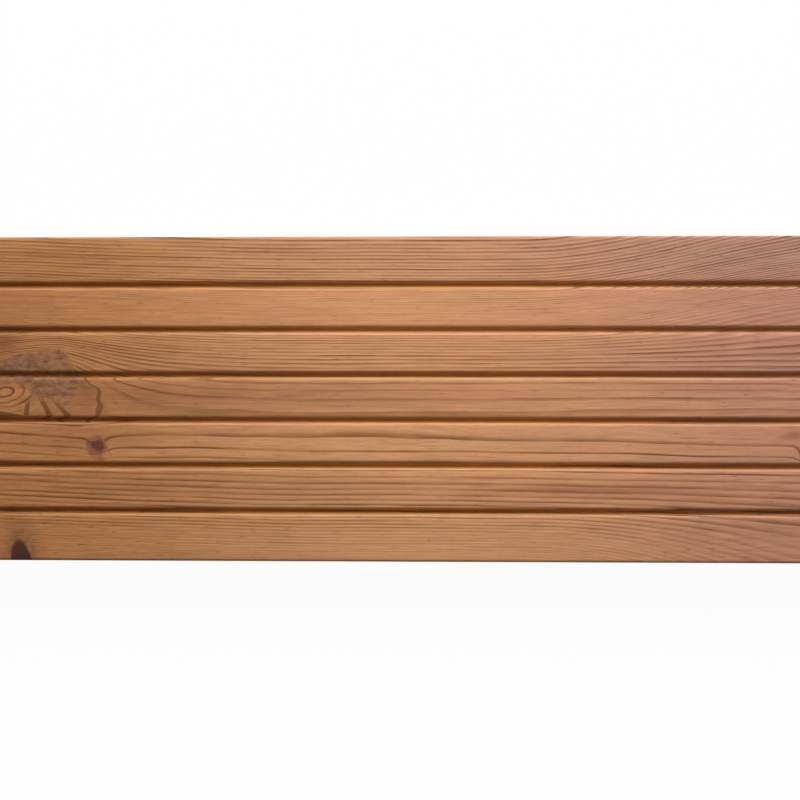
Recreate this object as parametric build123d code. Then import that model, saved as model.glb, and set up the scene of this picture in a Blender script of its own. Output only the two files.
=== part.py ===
# Heat-treated softwood cladding board: one planed board, ribbed on its show face and smooth on its back.
# Sizes are in millimetres. X runs along the board with the grain, Y across its ribs, and Z out of the ribbed face.
# The origin is in the middle of the smooth back, which is the face the board lies or is fixed on.
import os
from math import radians, tan
from build123d import *

# The board as planed
board_length = 2400.0
board_width = 140.0
board_thickness = 26.0

# The long edges, eased by the planer on both faces
face_edge_radius = 1.2
back_edge_radius = 1.2

# The ribbed face: equal ribs with a narrow groove between each two, and a wider flat beside each long edge
rib_count = 7
groove_pitch = 19.5
groove_floor_width = 1.6
groove_depth = 2.4
groove_wall_slope = 5.0
rib_edge_radius = 1.6
groove_floor_radius = 0.6

groove_count = rib_count - 1
overcut = 1.0


def groove_centres():
    """Distances across the board from its middle line to the middle of each groove."""
    return [(index - (groove_count - 1) / 2) * groove_pitch for index in range(groove_count)]


def groove_cut(centre):
    """One groove's tapered section, carried on past the face so that it cuts cleanly."""
    floor_level = board_thickness - groove_depth
    half_floor = groove_floor_width / 2
    half_top = half_floor + (groove_depth + overcut) * tan(radians(groove_wall_slope))
    corners = [
        (centre - half_floor, floor_level),
        (centre + half_floor, floor_level),
        (centre + half_top, board_thickness + overcut),
        (centre - half_top, board_thickness + overcut),
    ]
    return make_face(Polyline(*corners, close=True))


def corners_at(section, level):
    """The section's corners at one height above the back, from one long edge to the other."""
    return [corner for corner in section.vertices().sort_by(Axis.X) if abs(corner.Y - level) < 0.01]


def board_section():
    """The planed section, drawn with the back on the X axis of the sketch."""
    section = Rectangle(board_width, board_thickness, align=(Align.CENTER, Align.MIN))
    for centre in groove_centres():
        section -= groove_cut(centre)
    section = fillet(corners_at(section, 0.0), back_edge_radius)
    section = fillet(corners_at(section, board_thickness - groove_depth), groove_floor_radius)
    section = fillet(corners_at(section, board_thickness)[1:-1], rib_edge_radius)
    long_edges = [c for c in corners_at(section, board_thickness) if abs(abs(c.X) - board_width / 2) < 0.01]
    return fillet(long_edges, face_edge_radius)


def cladding_board():
    """The section run along the grain, half to each side of the origin."""
    return extrude(Plane.YZ * board_section(), amount=board_length / 2, both=True)


if __name__ == "__main__":
    os.makedirs("parts", exist_ok=True)
    board = cladding_board()
    board.label = "cladding_board"
    export_step(board, "parts/cladding_board.step")
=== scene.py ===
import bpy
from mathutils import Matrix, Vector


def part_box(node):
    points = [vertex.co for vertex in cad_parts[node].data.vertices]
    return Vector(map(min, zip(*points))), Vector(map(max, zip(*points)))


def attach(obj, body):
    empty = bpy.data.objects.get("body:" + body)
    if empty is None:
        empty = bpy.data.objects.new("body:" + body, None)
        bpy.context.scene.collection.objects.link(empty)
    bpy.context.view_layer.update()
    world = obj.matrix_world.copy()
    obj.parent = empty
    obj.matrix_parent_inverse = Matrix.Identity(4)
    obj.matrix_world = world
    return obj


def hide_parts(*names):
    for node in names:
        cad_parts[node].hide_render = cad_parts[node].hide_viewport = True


bl_info = {
    "name": "Ribbed Cladding Board",
    "version": (1, 0, 0),
    "blender": (4, 5, 0),
    "location": "3D View > Sidebar > Cladding Board",
    "description": "Makes a ribbed board of heat-treated pine, with its grain and knots, on a plain floor",
    "category": "Add Mesh",
}

from math import cos, radians, sin
from typing import NamedTuple

import bpy
from bpy.props import FloatProperty, FloatVectorProperty, IntProperty, PointerProperty
from mathutils import Matrix, Vector

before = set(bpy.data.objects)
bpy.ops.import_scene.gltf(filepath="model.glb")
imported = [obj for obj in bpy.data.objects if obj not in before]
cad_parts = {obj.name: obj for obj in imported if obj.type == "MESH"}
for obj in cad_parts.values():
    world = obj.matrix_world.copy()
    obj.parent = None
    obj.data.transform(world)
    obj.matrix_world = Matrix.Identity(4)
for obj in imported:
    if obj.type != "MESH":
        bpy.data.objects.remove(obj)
NODE = "cladding_board"
LOW, HIGH = (Vector(corner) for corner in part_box(NODE))
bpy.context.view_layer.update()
MM = 0.001


# Sizes and colours


class BoardSizes(bpy.types.PropertyGroup):
    """The planed section of the board and its ribbed face"""

    length: FloatProperty(
        name="Length", description="Length along the grain", default=HIGH.x - LOW.x, min=0.1, unit="LENGTH")
    width: FloatProperty(
        name="Width", description="Width across the ribs", default=HIGH.y - LOW.y, min=0.02, unit="LENGTH")
    thickness: FloatProperty(
        name="Thickness", description="Thickness at the ribs",
        default=HIGH.z - LOW.z, min=0.005, unit="LENGTH")
    grooves: IntProperty(
        name="Grooves", description="Grooves in the ribbed face", default=6, min=1, max=20)
    pitch: FloatProperty(
        name="Pitch", description="Distance between two grooves", default=19.5 * MM, unit="LENGTH")
    groove_floor: FloatProperty(
        name="Groove floor", description="Width of a groove at its floor", default=1.6 * MM, unit="LENGTH")
    groove_depth: FloatProperty(
        name="Groove depth", description="Depth of a groove", default=2.4 * MM, unit="LENGTH")
    groove_slope: FloatProperty(
        name="Groove slope", description="Lean of a groove's walls", default=radians(5), unit="ROTATION")
    rib_edge: FloatProperty(
        name="Rib edge", description="Radius of a rib's long edges", default=1.6 * MM, unit="LENGTH")
    groove_corner: FloatProperty(
        name="Groove corner", description="Radius in a groove's floor", default=0.6 * MM, unit="LENGTH")
    long_edge: FloatProperty(
        name="Long edge", description="Radius of the board's long edges", default=1.2 * MM, unit="LENGTH")


class WoodLook(bpy.types.PropertyGroup):
    """Colours and grain of heat-treated pine"""

    early: FloatVectorProperty(
        name="Early wood", description="Pale wood between two ring lines",
        default=(0.610, 0.292, 0.130, 1), size=4, min=0, max=1, subtype="COLOR")
    late: FloatVectorProperty(
        name="Late wood", description="Dark line at the end of a year's growth",
        default=(0.180, 0.064, 0.014, 1), size=4, min=0, max=1, subtype="COLOR")
    ruddy: FloatVectorProperty(
        name="Ruddy wood", description="Redder patches and resin streaks",
        default=(0.330, 0.120, 0.055, 1), size=4, min=0, max=1, subtype="COLOR")
    knot: FloatVectorProperty(
        name="Knot", description="Wood of a living knot",
        default=(0.270, 0.130, 0.068, 1), size=4, min=0, max=1, subtype="COLOR")
    dusky: FloatVectorProperty(
        name="Dusky knot", description="Purplish clouds in a living knot",
        default=(0.232, 0.112, 0.078, 1), size=4, min=0, max=1, subtype="COLOR")
    bark: FloatVectorProperty(
        name="Bark", description="Black wood of a dead knot and dark heart of a small one",
        default=(0.055, 0.005, 0.003, 1), size=4, min=0, max=1, subtype="COLOR")
    knot_spacing: FloatProperty(
        name="Knot spacing", description="Distance in millimetres between two whorls of knots",
        default=355, min=50)
    line_strength: FloatProperty(
        name="Ring lines", description="Strength of the ring lines",
        default=0.88, min=0, max=1, subtype="FACTOR")
    fibre_strength: FloatProperty(
        name="Fibres", description="Strength of the fine streaks",
        default=0.45, min=0, max=1, subtype="FACTOR")


class StudioLook(bpy.types.PropertyGroup):
    """Lamp and floor of the plain studio"""

    key: FloatProperty(
        name="Key lamp", description="Power of the long lamp behind the board", default=49, unit="POWER")
    fill: FloatProperty(
        name="Room light", description="Strength of the even light from all round", default=0.10, min=0)
    elevation: FloatProperty(
        name="Lamp height", description="Angle of the lamp above the board",
        default=radians(39.5), unit="ROTATION")
    shadow: FloatProperty(
        name="Shadow", description="How much of the board's shadow the white floor keeps",
        default=0.035, min=0, max=1, subtype="FACTOR")


# Writing node trees as formulas


class Value:
    """What a node gives at one of its outputs, such as a number, a vector or a mesh."""

    def __init__(self, rule, socket):
        self.rule = rule
        self.socket = socket

    def __add__(self, other):
        return self.rule.math("ADD", self, other)

    def __sub__(self, other):
        return self.rule.math("SUBTRACT", self, other)

    def __rsub__(self, other):
        return self.rule.math("SUBTRACT", other, self)

    def __mul__(self, other):
        return self.rule.math("MULTIPLY", self, other)

    def __truediv__(self, other):
        return self.rule.math("DIVIDE", self, other)

    def __neg__(self):
        return self.rule.math("MULTIPLY", self, -1.0)

    __radd__ = __add__


class Rule:
    """Adds nodes to a tree and joins them as their values are used."""

    def __init__(self, tree):
        self.tree = tree
        self.count = 0

    def node(self, kind, **settings):
        """A new node, placed in columns of ten."""
        node = self.tree.nodes.new(kind)
        node.location = (190 * (self.count // 10), -170 * (self.count % 10))
        self.count += 1
        for name, setting in settings.items():
            setattr(node, name, setting)
        return node

    def put(self, socket, value):
        if isinstance(value, Value):
            self.tree.links.new(value.socket, socket)
        else:
            socket.default_value = value

    def put_all(self, node, values):
        """Puts each value into the node's input of that name."""
        for name, value in values.items():
            self.put(node.inputs[name], value)

    def value(self, kind, inputs=None, out=0, **settings):
        """What a new node with these inputs gives at one of its outputs."""
        node = self.node(kind, **settings)
        self.put_all(node, inputs or {})
        return Value(self, node.outputs[out])

    def outputs(self, value, *names):
        """Several outputs of the node that this value comes from."""
        node = value.socket.node
        return [Value(self, node.outputs[name]) for name in names]

    def math(self, operation, *values):
        return self.value("ShaderNodeMath", dict(enumerate(values)), operation=operation)

    def vector_math(self, operation, *values, out="Vector"):
        return self.value("ShaderNodeVectorMath", dict(enumerate(values)), out, operation=operation)

    def scaled(self, vector, factor):
        return self.value("ShaderNodeVectorMath", {0: vector, "Scale": factor}, operation="SCALE")

    def joined(self, x, y, z):
        return self.value("ShaderNodeCombineXYZ", {0: x, 1: y, 2: z})

    def split(self, vector):
        return self.outputs(self.value("ShaderNodeSeparateXYZ", {0: vector}), 0, 1, 2)

    def step(self, value, start, end, low=0.0, high=1.0, kind="SMOOTHSTEP"):
        """Goes from low to high as value goes from start to end, and is held at both ends."""
        inputs = {"Value": value, "From Min": start, "From Max": end, "To Min": low, "To Max": high}
        return self.value("ShaderNodeMapRange", inputs, interpolation_type=kind)

    def band(self, value, start, full, fading, end):
        """1 as value lies between full and fading, and 0 before start and after end."""
        return self.step(value, start, full) * self.step(value, end, fading)

    def blend(self, share, first, second):
        return self.value("ShaderNodeMix", {"Factor": share, "A": first, "B": second}, data_type="FLOAT")

    def chance(self, seed, out="Value"):
        """A random number or colour, always the same one for the same seed."""
        return self.value("ShaderNodeTexWhiteNoise", {"W": seed}, out, noise_dimensions="1D")

    def noise(self, vector, scale=1.0, detail=2.0, rough=0.5):
        inputs = {"Vector": vector, "Scale": scale, "Detail": detail, "Roughness": rough}
        return self.value("ShaderNodeTexNoise", inputs)

    def grain_noise(self, place, along, across, detail=2.0, rough=0.5):
        """Noise in streaks that run with the grain, of about this length and width."""
        stretched = self.vector_math("MULTIPLY", place, (1 / along, 1 / across, 1 / across))
        return self.noise(stretched, detail=detail, rough=rough)

    def curve(self, value, points):
        """A drawn curve through the points, given in the units of the value and of the result."""
        xs, ys = zip(*points)
        low = min(ys)
        high = max(ys)
        share = self.step(value, xs[0], xs[-1], kind="LINEAR")
        node = self.node("ShaderNodeFloatCurve")
        drawn = node.mapping.curves[0].points
        for index, (x, y) in enumerate(points):
            spot = ((x - xs[0]) / (xs[-1] - xs[0]), (y - low) / (high - low))
            if index in (0, len(points) - 1):
                point = drawn[0 if index == 0 else len(drawn) - 1]
                point.location = spot
            else:
                point = drawn.new(*spot)
            point.handle_type = "AUTO"
        node.mapping.update()
        self.put(node.inputs["Value"], share)
        return Value(self, node.outputs[0]) * (high - low) + low


def open_group(name, kind, inputs, outputs):
    """A new node group with its named sockets: its rule, its inputs as values, and its output node."""
    tree = bpy.data.node_groups.new(name, kind)
    for direction, sockets in (("INPUT", inputs), ("OUTPUT", outputs)):
        for socket_name, socket_kind in sockets:
            tree.interface.new_socket(socket_name, in_out=direction, socket_type="NodeSocket" + socket_kind)
    rule = Rule(tree)
    entry = rule.node("NodeGroupInput")
    way_out = rule.node("NodeGroupOutput")
    given = {socket.name: Value(rule, socket) for socket in entry.outputs if socket.name}
    return rule, given, way_out


def use_group(rule, group, inputs):
    """A group put to use inside a material or another group: its outputs by name."""
    node = rule.node("ShaderNodeGroup", node_tree=group)
    rule.put_all(node, inputs)
    return {socket.name: Value(rule, socket) for socket in node.outputs}


# The board


# The section's corners are counted up one long edge, across the face and down the other edge
EDGE_CORNERS = 2
GROOVE_CORNERS = 4

# Points in a rounded corner, more points in a flat and how long a flat is at least, and steps along the board
ROUNDING_POINTS = 9
FLAT_POINTS = 5
FLAT_LENGTH = 2 * MM
LENGTH_STEPS = 120

# Points of the ends and of the long faces that are nearer than this become one
WELD_DISTANCE = 0.002 * MM


def section_corners(rule, given, index):
    """The section's corners as points in its own plane, and the radius of each one."""
    grooves = given["Grooves"]
    top = given["Thickness"]
    first_at_far_edge = grooves * GROOVE_CORNERS + EDGE_CORNERS
    past_near_edge = rule.math("GREATER_THAN", index, EDGE_CORNERS - 0.5)
    in_groove = past_near_edge * rule.math("LESS_THAN", index, first_at_far_edge - 0.5)

    # A groove's four corners: at the face, twice at its floor, and at the face again
    groove = rule.math("FLOOR", (index - EDGE_CORNERS) / GROOVE_CORNERS)
    corner = index - EDGE_CORNERS - groove * GROOVE_CORNERS
    at_floor = rule.math("LESS_THAN", rule.math("ABSOLUTE", corner - 1.5), 1.0)
    side = rule.math("GREATER_THAN", corner, 1.5) * 2 - 1
    half_floor = given["Groove floor"] * 0.5
    half_mouth = half_floor + given["Groove depth"] * rule.math("TANGENT", given["Groove slope"])
    centre = (groove - (grooves - 1) * 0.5) * given["Pitch"]
    groove_y = centre + side * rule.blend(at_floor, half_mouth, half_floor)
    groove_z = top - given["Groove depth"] * at_floor

    edge_side = past_near_edge * 2 - 1
    at_back = rule.math("LESS_THAN", index, 0.5) + rule.math("GREATER_THAN", index, first_at_far_edge + 0.5)
    corner_y = rule.blend(in_groove, edge_side * (given["Width"] * 0.5), groove_y)
    corner_z = rule.blend(in_groove, top * (1 - at_back), groove_z)
    groove_radius = rule.blend(at_floor, given["Rib edge"], given["Groove corner"])
    radius = rule.blend(in_groove, given["Long edge"], groove_radius)
    points = rule.value("GeometryNodePoints", {
        "Count": first_at_far_edge + EDGE_CORNERS, "Position": rule.joined(corner_y, corner_z, 0.0)})
    return points, radius


def section_line(rule, given, index, here):
    """The section as one closed line, rounded at its corners."""
    points, radius = section_corners(rule, given, index)
    line = rule.value("GeometryNodePointsToCurves", {"Points": points, "Weight": index})
    line = rule.value("GeometryNodeSetSplineCyclic", {0: line, "Cyclic": True})
    rounding = {"Curve": line, "Count": ROUNDING_POINTS, "Radius": radius, "Limit Radius": True}
    line = rule.value("GeometryNodeFilletCurve", rounding, mode="POLY")

    # More points on the flats, so that each rounding keeps its shade to itself
    following = {"Value": here, "Index": index + 1}
    next_place = rule.value("GeometryNodeFieldAtIndex", following, data_type="FLOAT_VECTOR", domain="POINT")
    gap = rule.vector_math("DISTANCE", here, next_place, out="Value")
    cuts = rule.math("GREATER_THAN", gap, FLAT_LENGTH) * FLAT_POINTS
    return rule.value("GeometryNodeSubdivideCurve", {"Curve": line, "Cuts": cuts})


def long_faces(rule, given, section, index, here):
    """A sheet wrapped round the section: its rows follow the section and its columns go along the board."""
    steps = given["Steps"]
    count = rule.value("GeometryNodeAttributeDomainSize", {0: section}, component="CURVE")
    sheet = rule.value("GeometryNodeMeshGrid", {
        "Size X": 1.0, "Size Y": 1.0, "Vertices X": steps + 1, "Vertices Y": count + 1})
    column = rule.math("FLOOR", index / (count + 1) + 1e-4)
    row = index - column * (count + 1)
    wrapped_row = row - rule.math("GREATER_THAN", row, count - 0.5) * count
    spot = rule.value("GeometryNodeSampleIndex", {
        "Geometry": section, "Value": here, "Index": wrapped_row,
    }, data_type="FLOAT_VECTOR", domain="POINT", clamp=True)
    section_y, section_z, _ = rule.split(spot)
    place = rule.joined((column / steps - 0.5) * given["Length"], section_y, section_z)
    sheet = rule.value("GeometryNodeSetPosition", {"Geometry": sheet, "Position": place})
    return rule.value("GeometryNodeSetShadeSmooth", {"Geometry": sheet, "Shade Smooth": True}, domain="FACE")


def sawn_ends(rule, given, section, here):
    """The section filled in and set at both ends of the board."""
    section_y, section_z, _ = rule.split(here)
    ends = rule.node("GeometryNodeJoinGeometry")
    for way in (1, -1):
        end = rule.value("GeometryNodeFillCurve", {"Curve": section}, mode="TRIANGLES")
        place = rule.joined(given["Length"] * (0.5 * way), section_y, section_z)
        end = rule.value("GeometryNodeSetPosition", {"Geometry": end, "Position": place})
        if way < 0:
            end = rule.value("GeometryNodeFlipFaces", {"Mesh": end})
        rule.put(ends.inputs[0], end)
    flat = {"Geometry": Value(rule, ends.outputs[0]), "Shade Smooth": False}
    return rule.value("GeometryNodeSetShadeSmooth", flat, domain="FACE")


def board_tree():
    """The ribbed section run along the grain, with its sawn ends."""
    rule, given, way_out = open_group(
        "Ribbed board", "GeometryNodeTree",
        [("Length", "Float"), ("Width", "Float"), ("Thickness", "Float"), ("Grooves", "Int"),
         ("Pitch", "Float"), ("Groove floor", "Float"), ("Groove depth", "Float"), ("Groove slope", "Float"),
         ("Rib edge", "Float"), ("Groove corner", "Float"), ("Long edge", "Float"), ("Steps", "Int"),
         ("Planed wood", "Material"), ("Sawn wood", "Material")],
        [("Board", "Geometry")])
    index = rule.value("GeometryNodeInputIndex")
    here = rule.value("GeometryNodeInputPosition")
    section = section_line(rule, given, index, here)
    whole = rule.node("GeometryNodeJoinGeometry")
    rule.put(whole.inputs[0], sawn_ends(rule, given, section, here))
    rule.put(whole.inputs[0], long_faces(rule, given, section, index, here))
    welded = {"Geometry": Value(rule, whole.outputs[0]), "Distance": WELD_DISTANCE}
    board = rule.value("GeometryNodeMergeByDistance", welded)
    board = rule.value("GeometryNodeRealizeInstances", {"Geometry": board})
    board = rule.value("GeometryNodeSetMaterial", {"Geometry": board, "Material": given["Planed wood"]})
    facing, _, _ = rule.split(rule.value("GeometryNodeInputNormal"))
    at_end = rule.math("GREATER_THAN", rule.math("ABSOLUTE", facing), 0.5)
    board = rule.value("GeometryNodeSetMaterial", {
        "Geometry": board, "Selection": at_end, "Material": given["Sawn wood"]})
    rule.put(way_out.inputs["Board"], board)
    return rule.tree


def plain_mesh(name, tree, inputs):
    """Runs a tree once and keeps its result as a plain mesh object."""
    maker = bpy.data.objects.new(name + "_maker", bpy.data.meshes.new(name + "_maker"))
    bpy.context.scene.collection.objects.link(maker)
    modifier = maker.modifiers.new("Rule", "NODES")
    modifier.node_group = tree
    for socket in tree.interface.items_tree:
        if socket.item_type == "SOCKET" and socket.in_out == "INPUT":
            modifier[socket.identifier] = inputs[socket.name]
    maker.update_tag()
    seen = bpy.context.evaluated_depsgraph_get()
    made = maker.evaluated_get(seen)
    mesh = bpy.data.meshes.new_from_object(made, preserve_all_data_layers=True, depsgraph=seen)
    maker.modifiers.remove(modifier)
    bpy.data.objects.remove(maker)
    mesh.name = name
    piece = bpy.data.objects.new(name, mesh)
    bpy.context.scene.collection.objects.link(piece)
    return piece


# Wood, worked out in millimetres from the middle of the board's back: x along the grain, y across the ribs
# and z towards the ribbed face


class Branch(NamedTuple):
    """A branch inside the stem, which shows as a knot where the board's surface cuts it."""

    start: float  # where it leaves the pith, along the board from the middle of its whorl
    azimuth: float  # turn about the pith in degrees, from the board's +Y edge towards its face
    lean: float  # lean towards the board's +X end, in degrees
    spread: float  # radius over length
    dead: float = 400.0  # length past which it grows no thicker
    strength: float = 0.6  # years that it bends the rings in its middle, for each millimetre of its radius
    fall: float = 1.0  # how soon that bend dies away beside it
    lift: float = 0.0  # how unlike its two sides are: in the bend beside them, and in the shape of its knot
    bark: float = 0.0  # 1 for a dead black knot and 0 for a living one


class Streak(NamedTuple):
    """A ruddy streak of resin near the face: where its middle is, its size and its strength."""

    x: float
    y: float
    half_length: float
    half_width: float
    strength: float


# The whorl of branches in the photograph with its place along the board, and the next one towards the +X end
SHOWN_PLACE = -169.0
SHOWN_WHORL = (
    Branch(start=-46.2, azimuth=69.8, lean=56.0, spread=0.28, dead=77.0, strength=0.52, fall=1.25, lift=0.8),
    Branch(start=24.5, azimuth=111.5, lean=25.0, spread=0.092, strength=0.45),
    Branch(start=-5.0, azimuth=156.7, lean=10.0, spread=0.135, dead=33.0, bark=1.0),
    Branch(start=10.0, azimuth=300.0, lean=20.0, spread=0.12, dead=45.0),
)
NEXT_WHORL = (
    Branch(start=-10.0, azimuth=17.0, lean=22.0, spread=0.28, strength=0.2, fall=0.8),
    Branch(start=-22.0, azimuth=113.0, lean=18.0, spread=0.10, strength=0.8),
    Branch(start=8.0, azimuth=200.0, lean=12.0, spread=0.10, dead=30.0, bark=1.0),
    Branch(start=0.0, azimuth=265.0, lean=10.0, spread=0.12),
)

# A whorl bends the rings in full up to the first distance from it. Past the second, which is just inside half
# the knot spacing, it no longer bends or tints the wood
WHORL_FULL = 130.0
WHORL_END = 176.0

# The pith along the board: x against its y, and x against its z
PITH_Y = (
    (-1200, -8), (-800, -14), (-400, -6), (-230, -6.5), (-173, -8), (-130, -9.8), (-87, -10.8),
    (-43, -11.6), (0, -11.7), (87, -12), (130, -12.4), (250, -14), (400, -18), (800, -6), (1200, -12),
)
PITH_Z = (
    (-1200, -4), (-600, -0.5), (-200, -2.1), (0, -2), (43, -1.9), (87, -1.7), (130, -1.5), (250, -1.5),
    (700, -6), (1200, -2),
)

# Distance from the pith against years of growth, and against the strength of the ring lines
YEARS = ((0, 0), (25, 14), (38, 22.6), (48, 32.5), (66, 56), (95, 76))
LINE_STRENGTHS = ((0, 1.1), (31, 1.1), (36, 1.1), (46, 0.92), (50, 0.45), (63, 0.45), (67, 1.1), (95, 1.1))

# The rings waver within this width. On the stem's -Y side they are wider: past this distance from the pith,
# this share of the way isn't counted
WAVER = 0.8
WIDE_START = 14.0
WIDE_SHARE = 0.22

# The count of years at the pith
FIRST_YEARS = 0.8

# The edge of a knot, in radii of its branch
KNOT_EDGE = 1.03

# Inside a knot: the width of a year's ring, the turn in radians between two strokes of its dark fan, and the
# point that the strokes come from, in radii from the knot's middle
KNOT_RING = 2.4
STROKE_TURN = 0.29
FAN_AHEAD = 0.22
FAN_ASIDE = 0.37

STREAKS = (
    Streak(81.0, -39.4, 42.0, 2.4, 0.6),
    Streak(168.0, -15.8, 6.0, 2.2, 0.8),
    Streak(-172.0, 24.0, 8.0, 7.0, 0.8),
    Streak(-139.0, 8.0, 6.0, 5.0, 0.5),
    Streak(-50.0, 0.5, 115.0, 8.0, 0.55),
    Streak(-115.0, 0.5, 40.0, 8.0, 0.2),
    Streak(-150.0, -17.0, 45.0, 7.0, 0.4),
    Streak(-80.0, -38.0, 120.0, 7.0, 0.3),
    Streak(-175.0, 44.0, 20.0, 8.0, 0.25),
)


def wood_place(rule):
    """The place in the wood that is being shaded, in millimetres."""
    return rule.scaled(rule.value("ShaderNodeTexCoord", out="Object"), 1 / MM)


def out_of_round(rule, ahead, aside, side):
    """How far the edge of a knot is pressed in, at a place given in radii from its middle.

    It is pressed in on one side and most at that side's corners, and drawn out and cut off flat on the other.
    """
    corner = ahead * ahead * side
    pressed_in = rule.step(side, 0, 1) * 0.1 + rule.step(corner, 0.12, 0.27) * 0.16
    drawn_out = rule.step(corner, 0.03, -0.5) * 0.2
    cut_off = rule.step(aside, -0.48, -0.62) * 0.8
    return pressed_in - drawn_out + cut_off


def stroke_distance(rule, ahead, sideways, size, azimuth):
    """Distance to the nearest of the dark strokes that fan out from a point in a knot of this size."""
    fan_x = ahead - size * FAN_AHEAD
    fan_y = sideways - size * FAN_ASIDE
    turn = rule.math("ARCTAN2", fan_y, fan_x) / STROKE_TURN + azimuth
    number = rule.math("FLOOR", turn)

    # Each stroke lies by chance between 0.15 and 0.85 of its own turn
    shift = rule.chance(number + rule.math("ROUND", azimuth * 10) * 67)
    turns_away = rule.math("ABSOLUTE", turn - number - 0.15 - shift * 0.7)
    fan_radius = rule.math("SQRT", fan_x * fan_x + fan_y * fan_y)
    return turns_away * fan_radius * STROKE_TURN


def branch_group():
    """Where a place lies by one branch.

    Reach is 0 in the middle of its knot and 1 at the knot's edge, and Size is the knot's radius.
    Side goes from -1 to 1 across the knot, and Ahead goes along the board in radii.
    Pull is how many years the rings are bent, and Stroke is the distance to a dark stroke.
    Squeeze is how far the knot's edge is pressed in.
    """
    rule, given, way_out = open_group(
        "Branch", "ShaderNodeTree",
        [("Offset", "Vector"), ("Azimuth", "Float"), ("Lean", "Float"), ("Spread", "Float"),
         ("Dead", "Float"), ("Strength", "Float"), ("Fall", "Float"), ("Lift", "Float")],
        [("Reach", "Float"), ("Pull", "Float"), ("Size", "Float"), ("Side", "Float"), ("Stroke", "Float"),
         ("Ahead", "Float"), ("Squeeze", "Float")])
    flat = rule.math("COSINE", given["Lean"])
    axis_y = flat * rule.math("COSINE", given["Azimuth"])
    axis_z = flat * rule.math("SINE", given["Azimuth"])
    axis = rule.joined(rule.math("SINE", given["Lean"]), axis_y, axis_z)
    out = rule.vector_math("DOT_PRODUCT", given["Offset"], axis, out="Value")
    away = rule.vector_math("SUBTRACT", given["Offset"], rule.scaled(axis, out))
    across = rule.vector_math("LENGTH", away, out="Value")
    away_x, _, _ = rule.split(away)
    ahead = away_x / flat
    side_way = rule.vector_math("NORMALIZE", rule.vector_math("CROSS_PRODUCT", axis, (1.0, 0.0, 0.0)))
    sideways = rule.vector_math("DOT_PRODUCT", away, side_way, out="Value")
    side = sideways / rule.math("MAXIMUM", across, 0.01)

    length = rule.math("MAXIMUM", out, 1.0)
    size = rule.math("MINIMUM", length, given["Dead"]) * given["Spread"]
    reach = across / size
    fading = rule.math("EXPONENT", -(rule.math("POWER", reach, 1.5) * given["Fall"]))
    lifted = rule.step(side, -1.0, 1.8, 1 - given["Lift"], given["Lift"] + 1)
    pressed = out_of_round(rule, ahead / size, sideways / size, side)
    rule.put_all(way_out, {
        "Reach": reach,
        "Pull": size * given["Strength"] * fading * lifted,
        "Size": size,
        "Side": side,
        "Stroke": stroke_distance(rule, ahead, sideways, size, given["Azimuth"]),
        "Ahead": ahead / size,
        "Squeeze": pressed * given["Lift"] * 1.25,
    })
    return rule.tree


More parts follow.
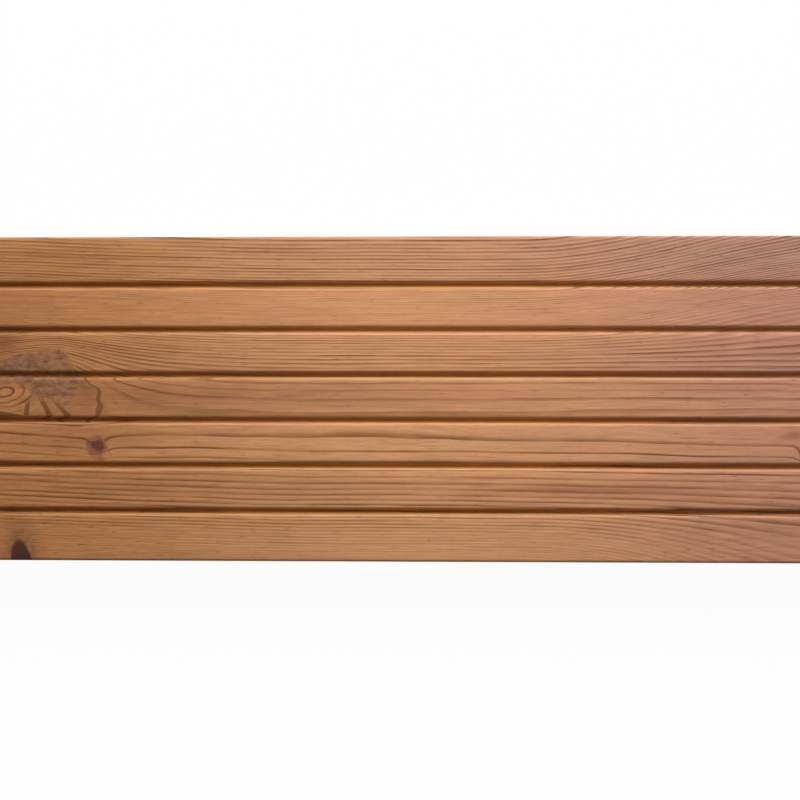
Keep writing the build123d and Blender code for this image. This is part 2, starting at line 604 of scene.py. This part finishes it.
class Pine:
    """The wood at the place that is being shaded: each step keeps the values that later steps use."""

    def __init__(self, rule, knot_spacing):
        self.rule = rule
        self.place = wood_place(rule)
        self.x, self.y, self.z = rule.split(self.place)
        self.measure_from_pith()
        self.find_whorl(knot_spacing)
        self.find_branch()
        self.count_years()
        self.draw_strokes()
        self.shade_knots()

    def measure_from_pith(self):
        """The pith runs near the board's back, and the rings are wider far off on its -Y side."""
        rule = self.rule
        waver = (rule.grain_noise(self.place, 60, 12) - 0.5) * WAVER
        self.from_y = self.y - rule.curve(self.x, PITH_Y)
        self.from_z = self.z - rule.curve(self.x, PITH_Z)
        slow_y = self.from_y + rule.math("MAXIMUM", -WIDE_START - self.from_y, 0.0) * WIDE_SHARE
        self.radius = rule.math("SQRT", slow_y * slow_y + self.from_z * self.from_z) + waver

    def find_whorl(self, spacing):
        """Branches grow in whorls at even distances: which whorl is the nearest, and how far along it is."""
        rule = self.rule
        self.whorl = rule.math("ROUND", (self.x - SHOWN_PLACE) / spacing)
        self.along = self.x - SHOWN_PLACE - self.whorl * spacing
        self.from_whorl = rule.math("ABSOLUTE", self.along)
        self.is_shown = rule.math("COMPARE", self.whorl, 0.0, 0.1)
        self.is_next = rule.math("COMPARE", self.whorl, 1.0, 0.1)
        self.is_other = 1 - self.is_shown - self.is_next

    def branch(self, number):
        """One branch of the nearest whorl: as given for the two whorls above, and by chance for others."""
        rule = self.rule

        # Any seed will do, so long as no two branches have the same one
        seed = self.whorl * 4.31 + (number * 7.77 + 1.3)
        size_chance, turn_chance, place_chance = rule.split(rule.chance(seed, "Color"))
        by_chance = {
            "start": place_chance * 90 - 60,
            "azimuth": turn_chance * radians(100) + radians(90 * number),
            "lean": size_chance * radians(22) + radians(12),
            "spread": size_chance * size_chance * 0.20 + 0.07,
            "dead": place_chance * 60 + 25,
            "strength": 0.6,
            "fall": 1.0,
            "lift": 0.0,
            "bark": rule.math("GREATER_THAN", turn_chance, 0.8),
        }
        branch = {}
        for field, drawn in by_chance.items():
            unit = radians(1) if field in ("azimuth", "lean") else 1.0
            shown = getattr(SHOWN_WHORL[number], field) * unit
            following = getattr(NEXT_WHORL[number], field) * unit
            branch[field] = self.is_shown * shown + self.is_next * following + self.is_other * drawn
        return branch

    def find_branch(self):
        """The branch with the nearest knot, and how many years all branches of the whorl bend the rings."""
        rule = self.rule
        group = branch_group()
        near = None
        pulls = []
        for number in range(len(SHOWN_WHORL)):
            branch = self.branch(number)
            bark = branch.pop("bark")
            inputs = {"Offset": rule.joined(self.along - branch.pop("start"), self.from_y, self.from_z)}
            for field, value in branch.items():
                inputs[field.capitalize()] = value
            made = use_group(rule, group, inputs)
            made["Bark"] = bark
            pulls.append(made.pop("Pull"))
            if near is None:
                near = made
            else:
                nearer = rule.math("LESS_THAN", made["Reach"], near["Reach"])
                near = {name: rule.blend(nearer, near[name], made[name]) for name in near}
        self.pull = sum(pulls)
        self.near = near
        self.reach = near["Reach"]
        self.dead = near["Bark"]
        self.small = rule.step(near["Size"], 6.0, 4.0)
        self.ragged = self.reach + (rule.noise(self.place, 0.12, detail=1.0) - 0.5) * 0.18 + near["Squeeze"]
        self.in_knot = rule.step(self.ragged, KNOT_EDGE, 0.97)

    def count_years(self):
        """Wide rings near the heart, and narrower ones further out that swell at most whorls."""
        rule = self.rule
        swelling = rule.step(self.from_whorl, 135, 0) * (self.is_next * 0.22 + self.is_other * 0.1)
        swelling = swelling * rule.step(self.radius, 33, 60)
        years = rule.curve(self.radius * (1 - swelling), YEARS)
        self.years = years - self.pull * rule.step(self.from_whorl, WHORL_END, WHORL_FULL) + FIRST_YEARS

    def draw_strokes(self):
        """Dark strokes that fan out on the -Y side of a big living knot, and its dark rim."""
        rule = self.rule
        near = self.near
        self.bend = rule.noise(self.place, 0.3, detail=1.0) - 0.5
        self.lower = rule.step(near["Side"], 0.09, -0.45)
        on_stroke = rule.step(near["Stroke"] + self.bend * 0.5, 0.6, 0.35)
        past_eye = rule.step(near["Ahead"], 0.3, 0.42) * rule.band(self.ragged, 0.38, 0.46, 0.95, 1.05)
        fan = on_stroke * past_eye * self.lower * 1.1
        from_edge = rule.math("ABSOLUTE", self.ragged - KNOT_EDGE) * near["Size"]
        rim = rule.step(from_edge, 0.65, 0.3) * rule.step(near["Side"], 0.9, 0.0, 0.2, 1.0)
        self.strokes = rule.math("MAXIMUM", fan, rim) * (1 - self.small) * (1 - self.dead)

    def shade_knots(self):
        """Brown wood in a knot and, less so, round a dead one, and black wood in a dead or a small one."""
        rule = self.rule
        self.tip = rule.step(self.near["Ahead"], 0.68, 0.9)
        off_eye = rule.step(self.ragged, 0.22, 0.45)
        off_marks = (1 - self.strokes) * (1 - self.lower * 0.75) * (1 - self.tip * 0.9)
        self.knot = self.in_knot * off_marks * off_eye
        dead_knot = self.dead * rule.step(self.ragged, 1.2, 0.95)
        small_heart = self.small * rule.step(self.ragged + self.bend, 1.1, 0.45) * 0.75
        self.bark = rule.math("MAXIMUM", dead_knot, small_heart)
        self.halo = self.dead * rule.step(self.reach, 3.0, 1.2) * 0.45

    def late_start(self):
        """The part of a year at which its dark wood starts: late near the heart, where the lines are thin."""
        rule = self.rule
        crowded = rule.step(self.reach, 2.6, 1.4) * (1 - self.small) * rule.step(self.near["Side"], -0.2, 0.3)
        near_heart = rule.step(self.from_y, -2, 2, 0.68, 0.56) + crowded * 0.16
        by_radius = rule.step(self.radius, 33, 36, near_heart, 0.30)
        return rule.blend(self.in_knot, by_radius, 0.5)

    def line(self):
        """How strong the ring line is, in the stem or in a knot, or the knot's stroke if that is stronger."""
        rule = self.rule
        counted = rule.blend(self.in_knot, self.years, self.reach * self.near["Size"] / KNOT_RING)
        year = rule.math("FLOOR", counted)
        late = rule.band(counted - year, self.late_start(), 0.92, 0.96, 1.0)
        by_year = rule.chance(year) * 0.5 + 0.55
        patchy = rule.noise(rule.joined(self.x / 40, year * 1.37, 0.0), detail=1.0)
        by_patch = rule.step(patchy, 0.3, 0.62, 0.5, 1.15)
        by_eye = rule.blend(self.in_knot, 1, rule.step(self.ragged, 0.42, 0.34, 0.3, 2.4))
        by_radius = rule.curve(self.radius, LINE_STRENGTHS)
        by_knot = rule.step(self.reach, 1.9, 1.15, 1.0, 1.45)
        by_side = rule.step(self.from_y * rule.step(self.radius, 38, 33), 0, 4, 1, 0.7)
        before_tip = rule.step(self.near["Ahead"], 0.8, 1.0) * rule.step(self.ragged, 1.4, 1.15)
        line = late * by_year * by_patch * by_eye * by_radius * by_knot * by_side * (1 - before_tip * 0.85)
        return rule.math("MAXIMUM", line, self.strokes)

    def fibre(self):
        """Fibres follow the rings round the knots."""
        rule = self.rule
        return rule.noise(rule.joined(self.x / 30, self.years * 3.2, self.from_y / 3), detail=3.0, rough=0.6)

    def brightness(self):
        """How bright the wood is: painted shade towards the -Y edge, away from the lamp, broad and fine
        streaks, short dark dashes, and the mottling of a knot.
        """
        rule = self.rule
        broad = rule.grain_noise(self.place, 110, 28)
        fine = rule.grain_noise(self.place, 12, 0.8)
        dash = rule.step(rule.grain_noise(self.place, 5, 0.5, detail=0.0), 0.71, 0.77)
        # Painted shade: the wood is a little darker towards the board's -Y edge, away from the lamp
        bright = 1.02 + self.y * 0.0007 + (broad - 0.5) * 0.12 + (fine - 0.5) * 0.5 - dash * 0.26
        mottle = rule.grain_noise(self.place, 3.2, 1.8, rough=0.6)
        return bright + self.knot * ((mottle - 0.5) * 1.7 + 0.05) + self.in_knot * self.tip * 0.1

    def tint(self):
        """The wood's brightness in red, green and blue, with painted shade in it."""
        rule = self.rule
        # Darker, warmer wood round every whorl; round the whorl at SHOWN_PLACE, painted shade darkens it
        # further
        at_whorl = rule.step(self.from_whorl, WHORL_END, 0)
        whorl_wood_and_shade = at_whorl * (self.is_shown * 0.33 + self.is_other * 0.24)
        rosy = at_whorl * self.is_next * 0.2

        # Less yellow beyond the middle of the stretch in the photograph, and greyer along its +Y edge
        blush = rule.step(self.x + self.y * 1.37, 47, 190) * rule.step(self.x, 340, 220)
        blush = blush * rule.step(self.y, -10, 15)
        by_edge = rule.step(self.y, 48, 58)
        ashen = by_edge * rule.band(self.x, 60, 140, 190, 300)
        cool = by_edge * rule.band(self.x, -120, -60, 80, 140)
        bright = self.brightness() - cool * 0.07
        red = bright - whorl_wood_and_shade - rosy - ashen * 0.12
        green = bright - whorl_wood_and_shade * 1.25 - rosy * 1.2
        blue = bright - whorl_wood_and_shade * 1.75 - rosy * 0.1 + ashen * 0.05 + blush * 0.15 + cool * 0.1
        return rule.joined(red, green, blue)

    def ruddy(self):
        """Redder wood: broad patches, resin streaks, the tip of a big knot, and round a small one."""
        rule = self.rule
        patches = rule.noise(rule.joined(self.x / 90, self.years * 0.9, 4.0), detail=1.0)
        ruddy = self.in_knot * self.tip * 0.4 + rule.step(patches, 0.55, 0.8) * 0.35
        for streak in STREAKS:
            along = (self.x - streak.x) / streak.half_length
            across = (self.y - streak.y) / streak.half_width
            share = rule.math("EXPONENT", -(along * along) - across * across)
            ruddy = ruddy + share * rule.step(self.z, 18, 22) * streak.strength
        return ruddy + self.small * rule.step(self.reach + self.bend * 2.5, 2.0, 0.8) * 0.8

    def in_groove(self, sizes):
        """Where the grooves get painted shade: 1 from a little under the ribs' tops down to their floor, and
        0 elsewhere.
        """
        rule = self.rule
        pitch = sizes.pitch / MM
        face = sizes.thickness / MM
        groove_floor = face - sizes.groove_depth / MM
        half_width = sizes.width / MM / 2
        from_middle = rule.math("ABSOLUTE", rule.math("FRACT", self.y / pitch) - 0.5) * pitch
        below_face = rule.step(self.z, face - 0.9, face - 1.7)
        above_floor = rule.step(self.z, groove_floor - 0.3, groove_floor - 0.1)
        off_edge = rule.step(rule.math("ABSOLUTE", self.y), half_width - 4, half_width - 6)
        return below_face * above_floor * off_edge * rule.step(from_middle, 2.4, 1.6)


def pine_group(sizes):
    """Solid pine, by how much of each of its marks and colours there is at a place in it, with painted shade
    in its tint.
    """
    rule, given, way_out = open_group(
        "Solid pine", "ShaderNodeTree",
        [("Knot spacing", "Float")],
        [("Line", "Float"), ("Fibre", "Float"), ("Tint", "Vector"), ("Ruddy", "Float"), ("Knot", "Float"),
         ("Bark", "Float")])
    pine = Pine(rule, given["Knot spacing"])
    in_groove = pine.in_groove(sizes)
    # Painted shade in the grooves: their colour loses a little green and much blue there, and their knots are
    # half as strong
    painted_groove_shade = rule.joined(1.0, 1 - in_groove * 0.04, 1 - in_groove * 0.55)
    rule.put_all(way_out, {
        "Line": pine.line(),
        "Fibre": pine.fibre(),
        "Tint": rule.vector_math("MULTIPLY", pine.tint(), painted_groove_shade),
        "Ruddy": pine.ruddy(),
        "Knot": rule.math("MAXIMUM", pine.knot, pine.halo) * (1 - in_groove * 0.5),
        "Bark": pine.bark,
    })
    return rule.tree


def colour_mix(rule, share, first, second, kind="MIX"):
    """Two colours mixed, or laid over one another in another way."""
    inputs = {0: share, 6: first, 7: second}
    return rule.value("ShaderNodeMix", inputs, 2, data_type="RGBA", blend_type=kind)


def wood_colour(rule, wood, place, look):
    """The wood's colour before its tint: patches, lines, fibres, knots and bark laid over early wood."""
    late = tuple(look.late)
    clouds = rule.step(rule.grain_noise(place, 14, 4), 0.42, 0.6)
    knot = colour_mix(rule, clouds, tuple(look.knot), tuple(look.dusky))
    colour = colour_mix(rule, wood["Ruddy"], tuple(look.early), tuple(look.ruddy))
    colour = colour_mix(rule, wood["Line"] * look.line_strength, colour, late)
    colour = colour_mix(rule, rule.step(wood["Fibre"], 0.5, 0.85) * look.fibre_strength, colour, late)
    colour = colour_mix(rule, wood["Knot"] * 0.88, colour, knot)
    return colour_mix(rule, wood["Bark"], colour, tuple(look.bark))


def wood_material(name, pine, look, sawn):
    """Heat-treated pine, planed on the faces or sawn across the grain at the ends."""
    material = bpy.data.materials.new(name)
    material.use_nodes = True
    rule = Rule(material.node_tree)
    shader = material.node_tree.nodes["Principled BSDF"]
    place = wood_place(rule)
    wood = use_group(rule, pine, {"Knot spacing": look.knot_spacing})
    tint = wood["Tint"]
    rough = rule.step(wood["Fibre"], 0.0, 1.0, 0.46, 0.60, "LINEAR")
    if sawn:
        _, y, z = rule.split(place)
        grit = rule.noise(place, 1.6, detail=3.0)
        saw_marks = rule.math("SINE", (y * 0.25 + z) * 2.2 + grit * 2)
        height = grit * 0.8 + saw_marks * 0.25
        relief = 0.6
        tint = rule.scaled(tint, 0.62 + grit * 0.2)
        rough = rough + 0.2
    else:
        height = rule.grain_noise(place, 9, 0.5)
        relief = 0.35
    colour = colour_mix(rule, 1.0, wood_colour(rule, wood, place, look), tint, "MULTIPLY")
    rule.put_all(shader, {
        "Base Color": colour,
        "Roughness": rough,
        "Specular IOR Level": 0.28,
        "Normal": rule.value("ShaderNodeBump", {"Strength": relief, "Distance": 0.1 * MM, "Height": height}),
    })
    return material


class MakeBoard(bpy.types.Operator):
    """Make the ribbed board of heat-treated pine in place of the plain one"""

    bl_idname = "cladding.make_board"
    bl_label = "Make the board"

    def execute(self, context):
        sizes = context.scene.board_sizes
        look = context.scene.wood_look
        pine = pine_group(sizes)
        inputs = {
            "Steps": LENGTH_STEPS,
            "Planed wood": wood_material("Heat-treated pine, planed", pine, look, False),
            "Sawn wood": wood_material("Heat-treated pine, sawn", pine, look, True),
        }

        # The tree's other inputs have the same names as the sizes
        for name in BoardSizes.__annotations__:
            inputs[name.replace("_", " ").capitalize()] = getattr(sizes, name)
        board = plain_mesh("heat_treated_board", board_tree(), inputs)
        if not board.data.polygons:
            raise RuntimeError("the board has no faces")
        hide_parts(NODE)
        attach(board, "root")
        return {"FINISHED"}


# The studio


# Places and sizes are in metres, and the lens and its sensor in millimetres. The camera looks down on the
# ribbed face, a little from its -Y side
LAMP_DISTANCE = 1.5
LAMP_LENGTH = 3.2
LAMP_WIDTH = 1.0
FLOOR_REACH = 40.0
FLOOR_DROP = 0.2 * MM
CAMERA_PLACE = Vector((31.93, -69.14, 846.55)) * MM
CAMERA_AIM = Vector((0, -0.96, 26.0)) * MM
CAMERA_ROLL = radians(0.244)
CAMERA_LENS = 86.56
CAMERA_SENSOR = 36


def seen_directly(rule):
    """1 where the camera sees a thing, straight, mirrored or through another, and 0 where it only lights."""
    path = rule.value("ShaderNodeLightPath")
    camera, glossy, clear = rule.outputs(path, "Is Camera Ray", "Is Glossy Ray", "Is Transmission Ray")
    return rule.math("MAXIMUM", camera, rule.math("MAXIMUM", glossy, clear))


def floor_material(look):
    """Pale and matt where it lights the board, and nearly plain white where the camera sees it."""
    material = bpy.data.materials.new("Pale floor")
    material.use_nodes = True
    rule = Rule(material.node_tree)
    rule.tree.nodes.clear()
    plain = rule.value("ShaderNodeBsdfDiffuse", {"Color": (0.9, 0.9, 0.9, 1)})
    white = rule.value("ShaderNodeEmission", {"Color": (1, 1, 1, 1), "Strength": 1.0})
    shown = rule.value("ShaderNodeMixShader", {0: 1 - look.shadow, 1: plain, 2: white})
    both = rule.value("ShaderNodeMixShader", {0: seen_directly(rule), 1: plain, 2: shown})
    rule.put(rule.node("ShaderNodeOutputMaterial").inputs["Surface"], both)
    return material


def make_floor(scene, look):
    """A wide floor just under the board."""
    mesh = bpy.data.meshes.new("floor")
    sides = ((-1, -1), (1, -1), (1, 1), (-1, 1))
    corners = [(x * FLOOR_REACH, y * FLOOR_REACH, -FLOOR_DROP) for x, y in sides]
    mesh.from_pydata(corners, [], [(0, 1, 2, 3)])
    mesh.materials.append(floor_material(look))
    floor = bpy.data.objects.new("floor", mesh)
    scene.collection.objects.link(floor)


def make_room(scene, look):
    """Even light from all round, seen as white."""
    world = bpy.data.worlds.new("Room")
    world.use_nodes = True
    scene.world = world
    rule = Rule(world.node_tree)
    strength = rule.blend(seen_directly(rule), look.fill, 1.0)
    rule.put_all(world.node_tree.nodes["Background"], {"Color": (1, 1, 1, 1), "Strength": strength})


def make_key_lamp(scene, look):
    """A long soft lamp beyond the board's +Y edge, aimed at its face."""
    lamp = bpy.data.lights.new("key_lamp", "AREA")
    lamp.shape = "RECTANGLE"
    lamp.size = LAMP_LENGTH
    lamp.size_y = LAMP_WIDTH
    lamp.energy = look.key
    place = Vector((0, cos(look.elevation), sin(look.elevation))) * LAMP_DISTANCE
    piece = bpy.data.objects.new("key_lamp", lamp)
    piece.location = place
    piece.rotation_euler = (Vector((0, 0, HIGH.z)) - place).to_track_quat("-Z", "Y").to_euler()
    scene.collection.objects.link(piece)


def make_camera(scene):
    """The camera of the photograph."""
    camera = bpy.data.cameras.new("camera")
    camera.sensor_width = CAMERA_SENSOR
    camera.lens = CAMERA_LENS
    camera.clip_start = 0.01
    camera.clip_end = 50
    forward = (CAMERA_AIM - CAMERA_PLACE).normalized()
    level = forward.cross(Vector((0, 1, 0))).normalized()
    right = Matrix.Rotation(CAMERA_ROLL, 3, -forward) @ level
    turned = Matrix((right, right.cross(forward), -forward)).transposed().to_4x4()
    eye = bpy.data.objects.new("camera", camera)
    eye.matrix_world = Matrix.Translation(CAMERA_PLACE) @ turned
    scene.collection.objects.link(eye)
    scene.camera = eye


class MakeStudio(bpy.types.Operator):
    """Make the pale floor, the room's light, the long lamp and the camera above the board"""

    bl_idname = "cladding.make_studio"
    bl_label = "Make the studio"

    def execute(self, context):
        scene = context.scene
        look = scene.studio_look
        scene.view_settings.view_transform = "Standard"
        make_floor(scene, look)
        make_room(scene, look)
        make_key_lamp(scene, look)
        make_camera(scene)
        return {"FINISHED"}


# The panel


class CladdingPanel(bpy.types.Panel):
    """Lists the steps that make the board and its studio"""

    bl_idname = "VIEW3D_PT_cladding_board"
    bl_label = "Cladding Board"
    bl_space_type = "VIEW_3D"
    bl_region_type = "UI"
    bl_category = "Cladding Board"

    def draw(self, context):
        scene = context.scene
        steps = (
            ("Board", scene.board_sizes, MakeBoard),
            ("Wood", scene.wood_look, None),
            ("Studio", scene.studio_look, MakeStudio),
        )
        for title, group, maker in steps:
            box = self.layout.box()
            box.label(text=title)
            for name in group.__annotations__:
                box.prop(group, name)
            if maker:
                box.operator(maker.bl_idname)


CLASSES = (BoardSizes, WoodLook, StudioLook, MakeBoard, MakeStudio, CladdingPanel)


def register():
    for kind in CLASSES:
        bpy.utils.register_class(kind)
    bpy.types.Scene.board_sizes = PointerProperty(type=BoardSizes)
    bpy.types.Scene.wood_look = PointerProperty(type=WoodLook)
    bpy.types.Scene.studio_look = PointerProperty(type=StudioLook)


def unregister():
    del bpy.types.Scene.studio_look, bpy.types.Scene.wood_look, bpy.types.Scene.board_sizes
    for kind in reversed(CLASSES):
        bpy.utils.unregister_class(kind)


def main():
    register()
    bpy.ops.cladding.make_board()
    bpy.ops.cladding.make_studio()


if __name__ == "__main__":
    main()
